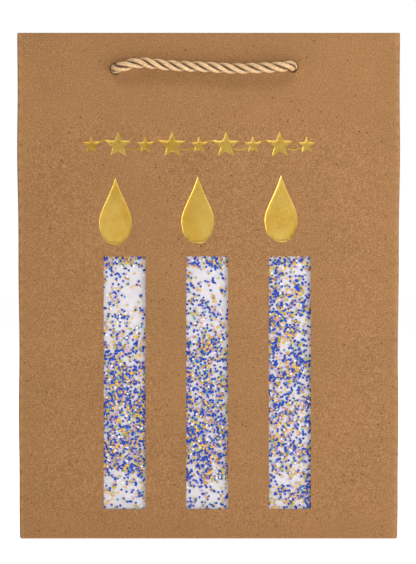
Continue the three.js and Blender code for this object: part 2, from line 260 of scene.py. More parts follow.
def cord_material():
    """Champagne satin yarn: fine filaments along each strand, and painted shade between the strands and on
    the core.
    """
    g = Graph("satin_cord")
    uv = g.add("ShaderNodeUVMap", uv_map="strand")
    filament = g.noise(g.add("ShaderNodeMapping", {"Vector": uv, "Scale": (26, 0.5, 1)}), 1.0, 3, 0.6)
    colour = g.mix(g.spread(filament, 0.35, 0.66), srgb(156, 114, 72), srgb(232, 196, 148))
    # painted shade: points near the cord's axis are mixed towards dark brown, standing in for the shade deep
    # between the strands and on the core
    depth = g.attribute("depth")
    colour = g.mix(g.spread(depth, 0.10, 0.52), colour, srgb(58, 34, 10))
    normal = g.bump(filament, 0.10 * MM, 0.7)
    return g.finish(
        colour, 0.42, normal,
        **{"Sheen Weight": 0.2, "Sheen Tint": srgb(226, 190, 140), "Specular IOR Level": 0.5},
    )


# Each colour, and how many of the dots have it.
CONFETTI_COLOURS = {
    "royal_blue": ((0, 68, 182), 0.51),
    "gold": ((240, 188, 72), 0.16),
    "copper": ((192, 134, 58), 0.07),
    "lilac": ((200, 160, 196), 0.12),
    "lime": ((186, 190, 72), 0.09),
    "pearl": ((246, 244, 236), 0.05),
    "aqua": ((70, 150, 186), 0.03),
}


def confetti_material(name, colour):
    """Glitter dot: lacquered foil with a slight tint change from dot to dot."""
    g = Graph("confetti_" + name)
    cell = g.add("ShaderNodeTexVoronoi", {"Vector": g.place(), "Scale": 700.0}, "Color")
    share = g.add("ShaderNodeSeparateColor", {"Color": cell}, "Green")
    dark = tuple(0.66 * value for value in srgb(*colour)[:3]) + (1.0,)
    mixed = g.mix(share, dark, srgb(*colour))
    return g.finish(mixed, 0.34, **{"Specular IOR Level": 0.12})


# ---- Mesh helpers ----
def make_object(name, vertices, faces, material=None):
    mesh = bpy.data.meshes.new(name)
    mesh.from_pydata([tuple(v) for v in vertices], [], [tuple(f) for f in faces])
    mesh.validate()
    mesh.update()
    obj = bpy.data.objects.new(name, mesh)
    bpy.context.scene.collection.objects.link(obj)
    if material is not None:
        mesh.materials.append(material)
    return obj


def shade(obj, angle=38):
    obj.data.shade_smooth()
    obj.data.set_sharp_from_angle(angle=math.radians(angle))


def set_point_values(obj, name, values):
    attribute = obj.data.attributes.new(name, "FLOAT", "POINT")
    attribute.data.foreach_set("value", np.asarray(values, np.float32))


def settle(obj, body, slot, *nodes):
    """The piece rides on a body and stands for CAD nodes, which it hides. The slot is not used."""
    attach(obj, body)
    if nodes:
        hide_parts(*nodes)


def resample(loop, spacing):
    """A closed loop of 2D points with extra points so that no side is longer than spacing."""
    points = []
    for a, b in zip(loop, loop[1:] + loop[:1]):
        steps = max(1, math.ceil(0.999 * math.dist(a, b) / spacing))
        for i in range(steps):
            t = i / steps
            points.append((a[0] + (b[0] - a[0]) * t, a[1] + (b[1] - a[1]) * t))
    return points


def rectangle(x0, z0, x1, z1):
    return [(x0, z0), (x1, z0), (x1, z1), (x0, z1)]


def circle(x, z, radius, sides=28):
    turns = [2 * math.pi * i / sides for i in range(sides)]
    return [(x + radius * math.cos(t), z + radius * math.sin(t)) for t in turns]


GRID_CLEARANCE = 0.55  # a grid point nearer than this share of the spacing to an edge is left out
BATCH = 400
MERGE_DISTANCE = 1e-5


def flat_triangles(outline, holes, extra, spacing):
    """Triangulates an outline with holes, a grid of inner points and any extra points.

    Coordinates are 2D. Grid points too close to an edge or an extra point are left out.
    """
    scale = 1 / MM  # the triangulation works in millimetres, for its tolerances
    loops = [resample(outline, spacing)] + [resample(hole, spacing) for hole in holes]
    fixed = [p for loop in loops for p in loop] + list(extra)
    fixed_array = np.array(fixed)
    low, high = np.array(outline).min(0), np.array(outline).max(0)
    xs = np.arange(low[0] + spacing / 2, high[0], spacing)
    zs = np.arange(low[1] + spacing / 2, high[1], spacing)
    grid = np.array([(x + (j % 2) * spacing / 2, z) for j, z in enumerate(zs) for x in xs])
    keep = np.ones(len(grid), bool)
    for start in range(0, len(grid), BATCH):
        part = grid[start:start + BATCH]
        gaps = np.linalg.norm(part[:, None] - fixed_array[None], axis=2).min(1)
        keep[start:start + BATCH] = gaps > GRID_CLEARANCE * spacing
    points = [Vector((x * scale, z * scale)) for x, z in fixed + [tuple(p) for p in grid[keep]]]
    edges, first = [], 0
    for loop in loops:
        count = len(loop)
        edges += [(first + i, first + (i + 1) % count) for i in range(count)]
        first += count
    inside_the_loops = 1
    result = delaunay_2d_cdt(points, edges, [], inside_the_loops, MERGE_DISTANCE)
    flat = np.array([(p.x, p.y) for p in result[0]]) * MM
    middles = flat[np.array([face[:3] for face in result[2]])].mean(1)
    in_hole = np.zeros(len(middles), bool)
    for hole in holes:
        in_hole |= signed_distance(middles, hole) < 0
    faces = []
    for face, cut_away in zip(result[2], in_hole):
        if cut_away:
            continue
        a, b, c = (flat[i] for i in face[:3])
        area = (b[0] - a[0]) * (c[1] - a[1]) - (b[1] - a[1]) * (c[0] - a[0])
        faces.append(tuple(face) if area > 0 else tuple(reversed(face)))
    return flat, faces


def sheet_solid(
    name, material, placed, outline, holes=(), extra=(), spacing=SHEET_SPACING, thickness=PAPER,
):
    """A thin closed solid: placed(points, depth) puts 2D points on the outer face at depth 0."""
    flat, faces = flat_triangles(outline, holes, extra, spacing)
    outer, inner = placed(flat, 0.0), placed(flat, thickness)
    count = len(flat)
    used = set()
    for face in faces:
        for a, b in zip(face, face[1:] + face[:1]):
            used.add((a, b))
    sides = [(b, a, a + count, b + count) for a, b in used if (b, a) not in used]
    back = [tuple(i + count for i in reversed(face)) for face in faces]
    obj = make_object(name, np.vstack([outer, inner]), list(faces) + back + sides, material)
    shade(obj)
    return obj, flat


def give_creases(obj, flat, amount):
    """Marks how near each point is to a crease line, from 0 to 1, on both faces."""
    values = amount(flat)
    set_point_values(obj, "crease", np.concatenate([values, values]))


# ---- Paper surface ----
def smooth_step(value, low, high):
    t = np.clip((value - low) / (high - low), 0, 1)
    return t * t * (3 - 2 * t)


MOUTH_EASE = 0.25 * MM  # left for the waver, so that the mouth stays within the CAD's width
FOOT_FADE = 20 * MM  # the height over which the waver sets in
WAVERS = ((0.18 * MM, 23 * MM, 0.0), (0.12 * MM, 9.5 * MM, 1.3))  # reach, length and phase


def half_width(z):
    """Half of the front's width, which grows towards the mouth and wavers a little."""
    waver = sum(reach * np.sin(z / length + phase) for reach, length, phase in WAVERS)
    even = HALF_BOTTOM + (HALF_TOP - MOUTH_EASE - HALF_BOTTOM) * (z / HEIGHT)
    return even + waver * smooth_step(z, 0, FOOT_FADE)


BOW_MEAN = 0.5  # in millimetres, at the middle of a panel
BOW_WAVE = 0.8
BOW_RISE = 30 * MM  # the height over which the bow sets in


def panel_bow(x, z):
    """A slight unevenness of a wide panel, outwards, that fades where the card strip stiffens it."""
    fade = 1 - np.clip(np.abs(x) / HALF_BOTTOM, 0, 1) ** 4
    wave = 0.30 * np.sin(x / (31 * MM) + 0.6) * np.sin(z / (54 * MM) + 0.4)
    wave += 0.16 * np.sin(x / (13 * MM) + z / (37 * MM))
    upper_fade = 1 - smooth_step(z, HEM_LOW - 25 * MM, HEM_LOW - 2 * MM)
    return -MM * fade * (BOW_MEAN + BOW_WAVE * wave) * smooth_step(z, 0, BOW_RISE) * upper_fade


DOMAIN_HALF = 90 * MM  # where the flat of a wide panel ends, on its unrolled outline
FLAT_LIMIT = 80 * MM  # inside this, an unrolled x is a real x
HALF_CORNER = math.pi / 4  # each of two walls goes half way round the corner between them
FOOT_SHARE = 1.4  # the foot turns in further than that by this factor
SMALLEST_BEND = 0.02 * MM


def turned_edges(z, inset):
    """How far the rolled rim and the foot draw the paper inwards, and the heights they give it."""
    rim = np.clip((z - (HEIGHT - RIM_RADIUS)) / RIM_RADIUS, 0, 1) * math.pi / 2
    roll = RIM_RADIUS - inset
    foot = np.clip((CORNER_RADIUS - z) / CORNER_RADIUS, 0, 1) * HALF_CORNER * FOOT_SHARE
    bottom = max(CORNER_RADIUS - inset, SMALLEST_BEND)
    inwards = roll * (1 - np.cos(rim)) + bottom * (1 - np.cos(foot))
    z = np.where(rim > 0, HEIGHT - RIM_RADIUS + abs(roll) * np.sin(rim), z)
    z = np.where(foot > 0, CORNER_RADIUS - bottom * np.sin(foot), z)
    return inwards, z


def wide_panel(facing, offset, radius, deboss=None):
    """Places unrolled points on the front (facing -1) or rear (+1) wall, offset inwards."""
    def placed(points, depth):
        x2, z = points[:, 0], points[:, 1]
        inset = offset + depth
        reach = half_width(z) - CORNER_RADIUS
        share = np.clip((np.abs(x2) - FLAT_LIMIT) / (DOMAIN_HALF - FLAT_LIMIT), 0, 1)
        x = np.where(np.abs(x2) <= FLAT_LIMIT, np.abs(x2), FLAT_LIMIT + (reach - FLAT_LIMIT) * share)
        turn = np.clip((np.abs(x2) - DOMAIN_HALF) / radius, 0, HALF_CORNER)
        bend = max(radius - inset, SMALLEST_BEND)
        x = x + bend * np.sin(turn)
        y = CORNER_RADIUS - bend * np.cos(turn) if radius > inset else inset + 0 * turn
        bow = panel_bow(x2, z)
        if deboss is not None and depth == 0:
            bow = bow + deboss(points)
        inwards, z = turned_edges(z, inset)
        y = np.where(turn > 0, y, inset) + bow + inwards
        return np.column_stack([np.sign(x2) * x, facing * (HALF_DEPTH - y), z])
    return placed


CREASE_ROUNDING = 0.7 * MM
DIAGONAL_SLOPE = 0.35


def crease_lean(y, z):
    """How far a side wall leans in at a point: a centre crease and two low diagonals."""
    flat = HALF_DEPTH - CORNER_RADIUS
    across = 1 - np.sqrt(y ** 2 + CREASE_ROUNDING ** 2) / flat
    above_diagonal = z - DIAGONAL_SLOPE * (flat - np.abs(y))
    return CREASE_INWARD * np.clip(across, 0, 1) * smooth_step(above_diagonal, 0, CREASE_BUILD_UP)


def side_wall(sign, offset):
    """Places unrolled (y, z) points on the left (-1) or right (+1) wall, offset inwards."""
    def placed(points, depth):
        y2, z = points[:, 0], points[:, 1]
        inset = offset + depth
        flat = HALF_DEPTH - CORNER_RADIUS
        turn = np.clip((np.abs(y2) - flat) / CORNER_RADIUS, 0, HALF_CORNER)
        bend = max(CORNER_RADIUS - inset, SMALLEST_BEND)
        y = np.minimum(np.abs(y2), flat) + bend * np.sin(turn)
        x = half_width(z) - CORNER_RADIUS + np.where(turn > 0, bend * np.cos(turn), CORNER_RADIUS - inset)
        x = x - crease_lean(y, z)
        inwards, z = turned_edges(z, inset)
        return np.column_stack([sign * (x - inwards), np.sign(y2) * y, z])
    return placed


# ---- Foil outlines ----
def bezier(p0, p1, p2, p3, steps):
    points = []
    for i in range(steps):
        t = i / steps
        a, b, c, d = (1 - t) ** 3, 3 * (1 - t) ** 2 * t, 3 * (1 - t) * t ** 2, t ** 3
        points.append(tuple(a * p0[k] + b * p1[k] + c * p2[k] + d * p3[k] for k in (0, 1)))
    return points


# The flame's right side: shares of the half width and of the height.
FLAME_WIDEST = 0.326
FLAME_STEPS = 16  # of each of the outline's four curves
FLAME_PULLS = {"bottom": (0.6, 0), "belly": (1, 0.12), "shoulder": (1, 0.5), "tip": (0.35, 0.7)}


def flame_outline(node):
    """The flame's teardrop, anticlockwise from its foot, in the box of its CAD node."""
    low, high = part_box(node)
    x, z = (low.x + high.x) / 2, low.z
    half, tall = (high.x - low.x) / 2, high.z - low.z
    foot, tip = (x, z), (x, z + tall)
    widest = z + FLAME_WIDEST * tall
    right, left = (x + half, widest), (x - half, widest)

    def pull(name, side):
        across, up = FLAME_PULLS[name]
        return (x + side * across * half, z + up * tall)

    points = bezier(foot, pull("bottom", 1), pull("belly", 1), right, FLAME_STEPS)
    points += bezier(right, pull("shoulder", 1), pull("tip", 1), tip, FLAME_STEPS)
    points += bezier(tip, pull("tip", -1), pull("shoulder", -1), left, FLAME_STEPS)
    points += bezier(left, pull("belly", -1), pull("bottom", -1), foot, FLAME_STEPS)
    return points


GARLAND_LEFT = -55.5 * MM
GARLAND_RIGHT = 46.5 * MM
GARLAND_Z = 186.5 * MM
GARLAND_WAVE = 2.2 * MM
GARLAND_LINE = 0.7 * MM
STAR_COUNT = 9
STAR_LARGE = 6.6 * MM
STAR_SMALL = 4.3 * MM
STAR_NOTCH = 0.42


def garland_height(x):
    along = (x - GARLAND_LEFT) / (GARLAND_RIGHT - GARLAND_LEFT)
    return GARLAND_Z + GARLAND_WAVE * math.sin(along * math.pi * (STAR_COUNT - 1))


def star_outline(x, z, radius):
    points = []
    for i in range(10):
        reach = radius if i % 2 == 0 else radius * STAR_NOTCH
        angle = math.pi / 2 + i * math.pi / 5
        points.append((x + reach * math.cos(angle), z + reach * math.sin(angle)))
    return points


def garland_stars():
    stars = []
    for i in range(STAR_COUNT):
        x = GARLAND_LEFT + (GARLAND_RIGHT - GARLAND_LEFT) * i / (STAR_COUNT - 1)
        radius = STAR_SMALL if i % 2 == 0 else STAR_LARGE
        stars.append((x, garland_height(x), radius))
    return stars


def signed_distance(points, outline):
    """Distance of 2D points to a closed outline, negative inside."""
    a = np.array(outline)
    b = np.roll(a, -1, axis=0)
    edge = b - a
    to_point = points[:, None] - a[None]
    t = np.clip((to_point * edge).sum(2) / (edge ** 2).sum(1), 0, 1)
    distance = np.linalg.norm(to_point - t[..., None] * edge, axis=2).min(1)
    above = (a[None, :, 1] > points[:, None, 1]) != (b[None, :, 1] > points[:, None, 1])
    with np.errstate(divide="ignore", invalid="ignore"):
        crossing = a[None, :, 0] + edge[None, :, 0] * to_point[..., 1] / edge[None, :, 1]
    inside = (above & (points[:, None, 0] < crossing)).sum(1) % 2 == 1
    return np.where(inside, -distance, distance)


DEBOSS_DEPTH = 0.15 * MM
DEBOSS_INSIDE = 0.35 * MM  # how far in from the outline the full depth is reached
DEBOSS_OUTSIDE = 0.30 * MM
OUTLINE_SPACING = 0.7 * MM  # between mesh points along the edge of the foil


def make_deboss(outlines):
    """How deep the stamping presses the card at each 2D point."""
    def deboss(points):
        depth = np.zeros(len(points))
        for outline in outlines:
            corners = np.array(outline)
            near = ((points > corners.min(0) - MM) & (points < corners.max(0) + MM)).all(1)
            if near.any():
                gap = signed_distance(points[near], outline)
                pressed = 1 - smooth_step(gap, -DEBOSS_INSIDE, DEBOSS_OUTSIDE)
                depth[near] = np.maximum(depth[near], DEBOSS_DEPTH * pressed)
        return depth
    return deboss


def offset_ring(outline, distance, spacing=OUTLINE_SPACING):
    """Points along an outline moved outwards by a distance, left out where they fold back."""
    dense = resample(outline, spacing)
    array = np.array(dense)
    ahead, behind = np.roll(array, -1, axis=0), np.roll(array, 1, axis=0)
    tangent = ahead - behind
    tangent /= np.linalg.norm(tangent, axis=1)[:, None]
    moved = array + distance * np.column_stack([tangent[:, 1], -tangent[:, 0]])
    kept = np.abs(signed_distance(moved, outline)) > 0.8 * abs(distance)
    return [tuple(p) for p in moved[kept]]


# ---- Paper pieces ----
def corner_crease(points):
    edge = DOMAIN_HALF - np.abs(points[:, 0])
    rim = HEIGHT - points[:, 1]
    foot = points[:, 1]
    nearest = np.minimum(np.minimum(np.abs(edge), rim), foot)
    return np.clip(1 - nearest / CREASE_HALF, 0, 1)


def side_crease(points):
    y, z = np.abs(points[:, 0]), points[:, 1]
    centre = y
    diagonal = np.abs(z - (HALF_DEPTH - y)) / math.sqrt(2)
    edge = np.abs(HALF_DEPTH - CORNER_RADIUS - y)
    nearest = np.minimum(np.minimum(centre, diagonal), np.minimum(edge, HEIGHT - z))
    return np.clip(1 - nearest / CREASE_HALF, 0, 1)


FOLD_CLEARANCE = 0.3  # a point nearer than this share of the spacing to a fold is left out


def spaced(low, high, spacing, folds):
    """Even positions from low to high with the folds added, and none crowding a fold."""
    steps = math.ceil((high - low) / spacing)
    even = [low + (high - low) * i / steps for i in range(1, steps)]
    inner = [v for v in even if all(abs(v - fold) > FOLD_CLEARANCE * spacing for fold in folds)]
    return sorted([low, *inner, *folds, high])


def folded_rectangle(x0, z0, x1, z1, spacing, x_folds, z_folds):
    """A rectangle's outline, and inner points in straight rows along its folds."""
    xs, zs = spaced(x0, x1, spacing, x_folds), spaced(z0, z1, spacing, z_folds)
    outline = [(x, z0) for x in xs[:-1]] + [(x1, z) for z in zs[:-1]]
    outline += [(x, z1) for x in xs[:0:-1]] + [(x0, z) for z in zs[:0:-1]]
    inner = {(x, z) for x in x_folds for z in zs[1:-1]}
    inner |= {(x, z) for z in z_folds for x in xs[1:-1]}
    return outline, sorted(inner)


CREASE_HALF = 0.8 * MM  # half the width of a pressed crease
FOOT_LINES = [0.5 * MM, CORNER_RADIUS]
RIM_LINES = [HEIGHT - RIM_RADIUS * t for t in (1.0, 0.6, 0.3)]
ARC_SHARES = (0, 0.25, 0.5, 0.75)
CENTRE_CREASE = [-CREASE_HALF, 0, CREASE_HALF]
DIAGONAL_STEPS = 22


def arc_lines(start):
    """Rows round a corner's arc on both sides, from where the flat ends."""
    lines = [start + CORNER_RADIUS * HALF_CORNER * t for t in ARC_SHARES]
    return [-line for line in reversed(lines)] + lines


def paper_panels(kraft, deboss, foil_outlines):
    half = DOMAIN_HALF + CORNER_RADIUS * HALF_CORNER
    outline, folds = folded_rectangle(
        -half, 0, half, HEIGHT, SHEET_SPACING, arc_lines(DOMAIN_HALF), FOOT_LINES + RIM_LINES[::-1],
    )
    holes = [circle(x, z, HOLE_RADIUS) for x, z in HOLES.values()]
    windows = []
    for centre in WINDOW_CENTRES.values():
        x0, x1 = centre - WINDOW_WIDTH / 2, centre + WINDOW_WIDTH / 2
        windows.append(rectangle(x0, WINDOW_BOTTOM, x1, WINDOW_TOP))
    stamped = []
    for foil in foil_outlines:
        stamped += offset_ring(foil, -DEBOSS_INSIDE)
        stamped += resample(foil, OUTLINE_SPACING)
        stamped += offset_ring(foil, DEBOSS_OUTSIDE)
    front, flat = sheet_solid(
        "front_panel_paper", kraft, wide_panel(-1, 0, CORNER_RADIUS, deboss),
        outline, holes + windows, folds + stamped,
    )
    give_creases(front, flat, corner_crease)
    back, flat = sheet_solid(
        "back_panel_paper", kraft, wide_panel(1, 0, CORNER_RADIUS), outline, holes, folds,
    )
    back.data.flip_normals()
    give_creases(back, flat, corner_crease)
    for obj, node in ((front, "front_panel"), (back, "back_panel")):
        settle(obj, "bag", "kraft_paper", node)


def side_pair(kraft, part, inset, outline, folds):
    """The same piece of paper on the left and on the right side wall."""
    for name, sign in (("left", -1), ("right", 1)):
        piece, flat = sheet_solid(
            f"{name}_{part}_paper", kraft, side_wall(sign, inset), outline, (), folds, GUSSET_SPACING,
        )
        if sign < 0:
            piece.data.flip_normals()
        give_creases(piece, flat, side_crease)
        settle(piece, "bag", "kraft_paper", f"{name}_{part}")


def paper_sides(kraft):
    flat_half = HALF_DEPTH - CORNER_RADIUS
    half = flat_half + CORNER_RADIUS * HALF_CORNER
    upright = arc_lines(flat_half) + CENTRE_CREASE
    outline, folds = folded_rectangle(
        -half, 0, half, HEIGHT, GUSSET_SPACING, upright, FOOT_LINES + RIM_LINES[::-1],
    )
    for i in range(2, DIAGONAL_STEPS):
        y = HALF_DEPTH * i / DIAGONAL_STEPS
        for shift in CENTRE_CREASE:
            z = HALF_DEPTH - y + shift * math.sqrt(2)
            folds += [(y, z), (-y, z)]
    side_pair(kraft, "gusset", 0, outline, folds)


HEM_MARGIN = 0.4 * MM  # by which a wide hem is narrower than its wall
HEM_GAP = 0.1 * MM  # between a side wall and its hem


def paper_hems(kraft):
    """The folded-in top of the sheet, which meets the outer wall at the rolled rim."""
    inset = 2 * RIM_RADIUS - PAPER
    half = DOMAIN_HALF - HEM_MARGIN
    outline, folds = folded_rectangle(-half, HEM_LOW, half, HEIGHT, SHEET_SPACING, [], RIM_LINES[::-1])
    holes = [circle(x, z, HOLE_RADIUS - HEM_HOLE_EASE) for x, z in HOLES.values()]
    for name, facing in (("front", -1), ("rear", 1)):
        hem, flat = sheet_solid(
            f"{name}_hem_paper", kraft, wide_panel(facing, inset, CORNER_RADIUS), outline, holes, folds,
        )
        if facing > 0:
            hem.data.flip_normals()
        give_creases(hem, flat, lambda p: np.clip(1 - (HEIGHT - p[:, 1]) / MM, 0, 1))
        settle(hem, "bag", "kraft_paper", f"{name}_hem")
    half = HALF_DEPTH - 2 * RIM_RADIUS - 2 * HEM_GAP
    outline, folds = folded_rectangle(
        -half, HEM_LOW, half, HEIGHT, GUSSET_SPACING, CENTRE_CREASE, RIM_LINES[::-1],
    )
    side_pair(kraft, "hem", PAPER + HEM_GAP, outline, folds)


# ---- Foil pieces ----
FOIL_THICKNESS = 0.05 * MM
EDGE_RING = 0.15 * MM  # a second ring of mesh points this far in from a flame's edge
LINE_STEPS = 10  # of each stretch of the waving line
LINE_START = 0.55  # the line starts at this share of a star's radius from its centre


def foil_on_panel(deboss):
    """Foil follows the pressed card and stands a hair proud of it."""
    panel = wide_panel(-1, 0, CORNER_RADIUS)

    def placed(points, depth):
        where = panel(points, 0)
        where[:, 1] += deboss(points) + depth - FOIL_THICKNESS
        return where
    return placed


def foil_pieces(foil, deboss, flames, stars):
    placed = foil_on_panel(deboss)

    def stamp(name, outline, rings, spacing):
        piece, _ = sheet_solid(name, foil, placed, outline, (), rings, spacing, FOIL_THICKNESS)
        return piece

    for name, outline in flames.items():
        rings = offset_ring(outline, -DEBOSS_INSIDE) + offset_ring(outline, -EDGE_RING)
        flame = stamp(f"{name}_flame", resample(outline, OUTLINE_SPACING), rings, 1.2 * MM)
        settle(flame, "bag", "gold_foil", f"{name}_flame_foil")
    parts = []
    for i, outline in enumerate(stars):
        rings = offset_ring(outline, -DEBOSS_INSIDE, 0.5 * MM)
        parts.append(stamp(f"garland_star_{i + 1}", resample(outline, 0.6 * MM), rings, 0.9 * MM))
    centres = garland_stars()
    for i, ((x0, _, r0), (x1, _, r1)) in enumerate(zip(centres, centres[1:])):
        low, high = x0 + LINE_START * r0, x1 - LINE_START * r1
        xs = [low + (high - low) * k / LINE_STEPS for k in range(LINE_STEPS + 1)]
        under = [(x, garland_height(x) - GARLAND_LINE / 2) for x in xs]
        over = [(x, garland_height(x) + GARLAND_LINE / 2) for x in reversed(xs)]
        parts.append(stamp(f"garland_line_{i + 1}", under + over, (), 0.6 * MM))
    for part in parts:
        settle(part, "bag", "gold_foil")
    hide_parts("foil_garland")


# ---- Confetti ----
DOT_RADIUS = 0.57 * MM
DOT_THICKNESS = 0.035 * MM
DOT_SIDES = 8
DOT_TILT = 9  # degrees, the usual lean of a dot
DOTS_PER_WINDOW = 2550
CLUMPS_PER_WINDOW = 130
CLUMPED_SHARE = 0.45
CLUMP_REACH = 1.6 * MM

# How full the window is from the top (0) to the bottom (1), on its left and right.
FILL = {
    "left": ([0, 0.025, 0.05, 0.2, 0.3, 0.45, 0.8, 0.87, 1.0],
             [0.9, 0.8, 0.25, 0.14, 0.4, 0.85, 0.95, 0.2, 0.12],
             [0.8, 0.5, 0.03, 0.07, 0.2, 0.75, 1.0, 0.3, 0.15]),
    "middle": ([0, 0.025, 0.06, 0.25, 0.45, 0.65, 0.85, 0.92, 1.0],
               [0.6, 0.5, 0.12, 0.3, 0.75, 0.9, 0.4, 0.2, 0.25],
               [0.8, 0.7, 0.15, 0.3, 0.8, 0.7, 0.95, 0.25, 0.25]),
    "right": ([0, 0.06, 0.25, 0.4, 0.55, 0.75, 0.88, 1.0],
              [0.95, 0.9, 0.85, 0.9, 0.85, 0.6, 0.4, 0.25],
              [0.6, 0.4, 0.45, 0.7, 0.7, 0.65, 0.75, 0.95]),
}


def confetti_window(name, materials):
    """One window's dots, scattered through the thin space between film and tray."""
    rng = random.Random("confetti " + name)
    low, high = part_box(f"{name}_confetti")
    down, left_fill, right_fill = FILL[name]
    names = list(CONFETTI_COLOURS)
    weights = [CONFETTI_COLOURS[key][1] for key in names]
    window_height = WINDOW_TOP - WINDOW_BOTTOM
    vertices, faces, slots = [], [], []
    margin = DOT_RADIUS
    made = 0
    clumps = [(rng.uniform(low.x, high.x), rng.uniform(low.z, high.z)) for _ in range(CLUMPS_PER_WINDOW)]
    while made < DOTS_PER_WINDOW:
        if rng.random() < CLUMPED_SHARE:
            clump_x, clump_z = rng.choice(clumps)
            x, z = rng.gauss(clump_x, CLUMP_REACH), rng.gauss(clump_z, CLUMP_REACH)
        else:
            x, z = rng.uniform(low.x, high.x), rng.uniform(low.z, high.z)
        if not (low.x + margin < x < high.x - margin and low.z + margin < z < high.z - margin):
            continue
        from_top = min(max((WINDOW_TOP - z) / window_height, 0), 1)
        across = (x - low.x) / (high.x - low.x)
        on_left, on_right = np.interp(from_top, down, left_fill), np.interp(from_top, down, right_fill)
        if rng.random() > (1 - across) * on_left + across * on_right:
            continue
        made += 1
        slot = rng.choices(range(len(names)), weights)[0]
        tilt = math.radians(rng.gauss(0, DOT_TILT))
        turn = rng.uniform(0, 2 * math.pi)
        reach = DOT_RADIUS * math.sin(abs(tilt)) + DOT_THICKNESS
        y = rng.uniform(low.y + reach, high.y - reach)
        normal = Vector((math.sin(tilt) * math.cos(turn), -math.cos(tilt), math.sin(tilt) * math.sin(turn)))
        side = normal.orthogonal().normalized()
        other = normal.cross(side)
        first = len(vertices)
        for level in (0.5, -0.5):
            for k in range(DOT_SIDES):
                angle = 2 * math.pi * (k + 0.5) / DOT_SIDES
                spoke = side * math.cos(angle) + other * math.sin(angle)
                vertices.append(Vector((x, y, z)) + spoke * DOT_RADIUS + normal * DOT_THICKNESS * level)
        ring = list(range(first, first + DOT_SIDES))
        under = [i + DOT_SIDES for i in ring]
        faces.append(ring)
        faces.append(under[::-1])
        for k in range(DOT_SIDES):
            after = (k + 1) % DOT_SIDES
            faces.append([ring[after], ring[k], under[k], under[after]])
        slots += [slot] * (DOT_SIDES + 2)
    obj = make_object(f"{name}_confetti_dots", vertices, faces)
    for key in names:
        obj.data.materials.append(materials[key])
    obj.data.polygons.foreach_set("material_index", slots)
    settle(obj, f"{name}_confetti_layer", "confetti", f"{name}_confetti")


# ---- Cord ----
CORD_DIAMETER = 5 * MM
STRAND_RADIUS = 1.07 * MM
STRAND_ORBIT = 1.45 * MM
LAY = 18.6 * MM  # length of one full turn of the three strands
CORE_RADIUS = 1.2 * MM  # of the core yarn inside, which fills the middle; the painted shade near the axis makes it dark
PINCH = 0.07  # how much slimmer the cord is in its hole
PINCH_REACH = 3 * MM
STRAND_SIDES = 14
RING_STEP = 0.55 * MM
FILAMENT_TWIST = 0.16  # turns round a strand for each millimetre of cord
MELTED_SHARE = 0.55  # of the cord's thickness, at its melted end
TAIL_LENGTH = 33 * MM
SPAN_MIDDLE_X = -2 * MM
MIDDLE_HALF_LENGTH = 3 * MM
MIDDLE_OUT = 5.1 * MM
MIDDLE_Z = 223.0 * MM

# Offsets from the hole in millimetres: towards the middle, outwards, up.
ROUTE_INSIDE = [(0, -9, -9), (0, -8.8, -6), (0, -7.4, -2.4), (0, -4.6, -0.2), (0, -2, 0), (0, 0.4, 0)]
ROUTE_OUTSIDE = {
    "left": [
        (0.7, 2.9, 0.0), (3.0, 5.0, 0.3), (7.5, 5.9, 1.5), (12.5, 5.9, 2.1), (18, 5.8, 1.7), (24, 5.5, 1.1),
        (30, 5.2, 0.7),
    ],
    "right": [
        (0.7, 2.9, -0.1), (3.0, 5.0, -0.5), (7.5, 5.9, -1.0), (12.5, 5.9, -1.25), (18, 5.8, -1.45),
        (24, 5.5, -1.6), (30, 5.2, -1.5),
    ],
}


def centripetal_curve(points, per_segment=24):
    """Dense points on a smooth curve through all the given points."""
    points = [np.array(p, float) for p in points]
    padded = [2 * points[0] - points[1], *points, 2 * points[-1] - points[-2]]
    dense = []
    for p0, p1, p2, p3 in zip(padded, padded[1:], padded[2:], padded[3:]):
        t0 = 0.0
        t1 = t0 + np.linalg.norm(p1 - p0) ** 0.5
        t2 = t1 + np.linalg.norm(p2 - p1) ** 0.5
        t3 = t2 + np.linalg.norm(p3 - p2) ** 0.5
        for i in range(per_segment):
            t = t1 + (t2 - t1) * i / per_segment
            a1 = (t1 - t) / (t1 - t0) * p0 + (t - t0) / (t1 - t0) * p1
            a2 = (t2 - t) / (t2 - t1) * p1 + (t - t1) / (t2 - t1) * p2
            a3 = (t3 - t) / (t3 - t2) * p2 + (t - t2) / (t3 - t2) * p3
            b1 = (t2 - t) / (t2 - t0) * a1 + (t - t0) / (t2 - t0) * a2
            b2 = (t3 - t) / (t3 - t1) * a2 + (t - t1) / (t3 - t1) * a3
            dense.append((t2 - t) / (t2 - t1) * b1 + (t - t1) / (t2 - t1) * b2)
    dense.append(points[-1])
    return np.array(dense)


class Route:
    """A line through space with its length along it and a frame that doesn't twist."""

    def __init__(self, dense):
        steps = np.linalg.norm(np.diff(dense, axis=0), axis=1)
        keep = np.concatenate([[True], steps > 1e-7])
        self.points = dense[keep]
        steps = np.linalg.norm(np.diff(self.points, axis=0), axis=1)
        self.along = np.concatenate([[0], np.cumsum(steps)])
        tangent = np.gradient(self.points, self.along, axis=0)
        self.tangent = tangent / np.linalg.norm(tangent, axis=1)[:, None]
        side = np.cross(self.tangent[0], (0.3, 0.5, 0.8))
        self.side = [side / np.linalg.norm(side)]
        for t in self.tangent[1:]:
            side = self.side[-1] - t * np.dot(t, self.side[-1])
            self.side.append(side / np.linalg.norm(side))
        self.side = np.array(self.side)

    @property
    def length(self):
        return self.along[-1]

    def at(self, s):
        """Point, tangent and the two side directions at lengths s along the line."""
        def read(values):
            return np.column_stack([np.interp(s, self.along, values[:, k]) for k in range(3)])
        tangent = read(self.tangent)
        tangent /= np.linalg.norm(tangent, axis=1)[:, None]
        side = read(self.side)
        side -= tangent * (side * tangent).sum(1)[:, None]
        side /= np.linalg.norm(side, axis=1)[:, None]
        return read(self.points), tangent, side, np.cross(tangent, side)


